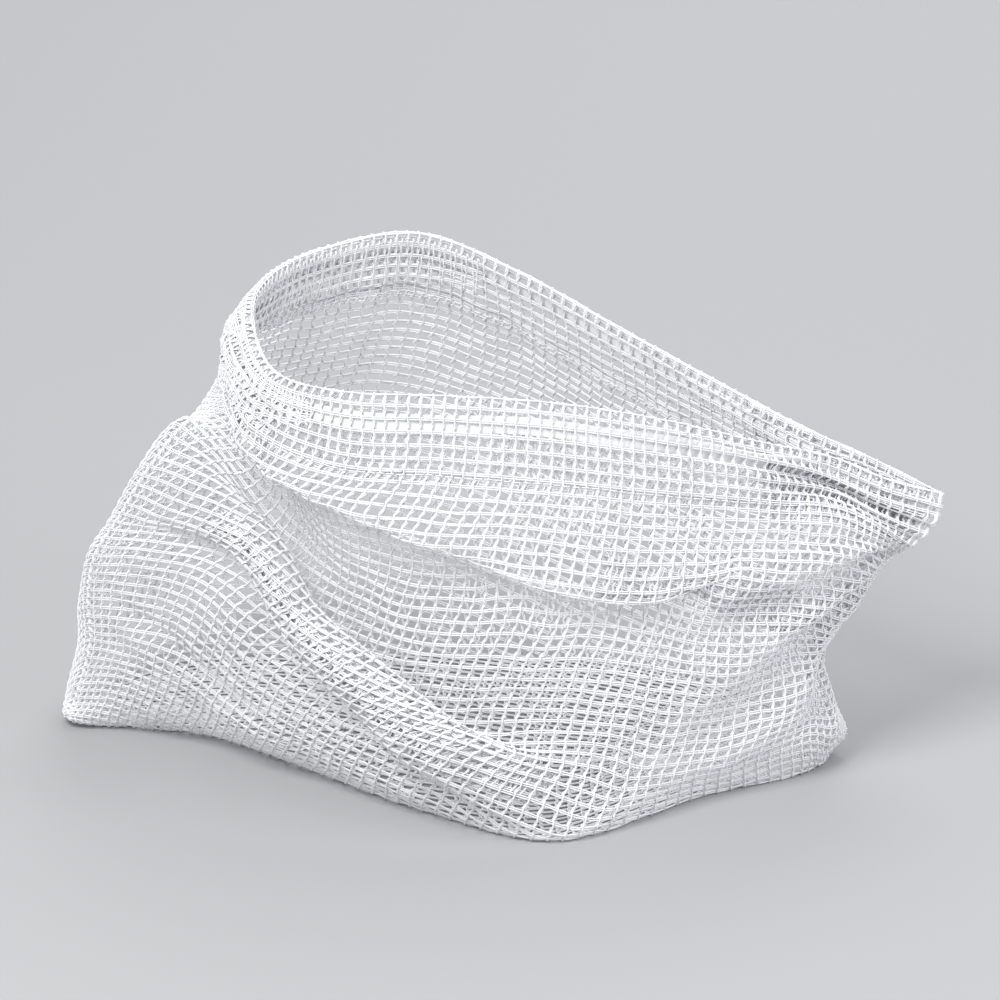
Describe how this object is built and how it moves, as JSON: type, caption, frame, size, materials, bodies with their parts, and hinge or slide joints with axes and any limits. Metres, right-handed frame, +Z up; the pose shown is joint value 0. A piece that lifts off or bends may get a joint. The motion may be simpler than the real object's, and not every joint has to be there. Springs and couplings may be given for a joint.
{
  "type": "mesh produce bag",
  "caption": "Open-mesh cotton drawstring bag for fruit and vegetables, slumped on its side with its mouth open and the drawstring tape showing at one corner of the hem.",
  "frame": {"origin": "on the table, under the middle of the bag's bounding box", "axes": "+Z up, +X towards the corner where the drawstring comes out, +Y towards the back panel"},
  "size_m": [0.2878, 0.1846, 0.1556],
  "materials": {
    "netting": "matt white cotton warp-knit netting",
    "tape": "matt white flat woven cotton tape",
    "thread": "white sewing thread"
  },
  "bodies": {
    "bag": {"front_panel": "netting", "back_panel": "netting", "front_hem_casing": "netting", "back_hem_casing": "netting", "left_side_seam": "netting", "right_side_seam": "netting", "bottom_seam": "netting", "front_hem_stitching": "thread", "back_hem_stitching": "thread", "drawstring_front_run": "tape", "drawstring_back_run": "tape"},
    "drawstring": {"drawstring_pull_loop": "tape"}
  },
  "joints": [
    {"name": "drawstring_pull", "type": "slide", "parent": "bag", "child": "drawstring", "axis": [0.91, 0, -0.4146], "range_m": [0, 0.018]}
  ]
}
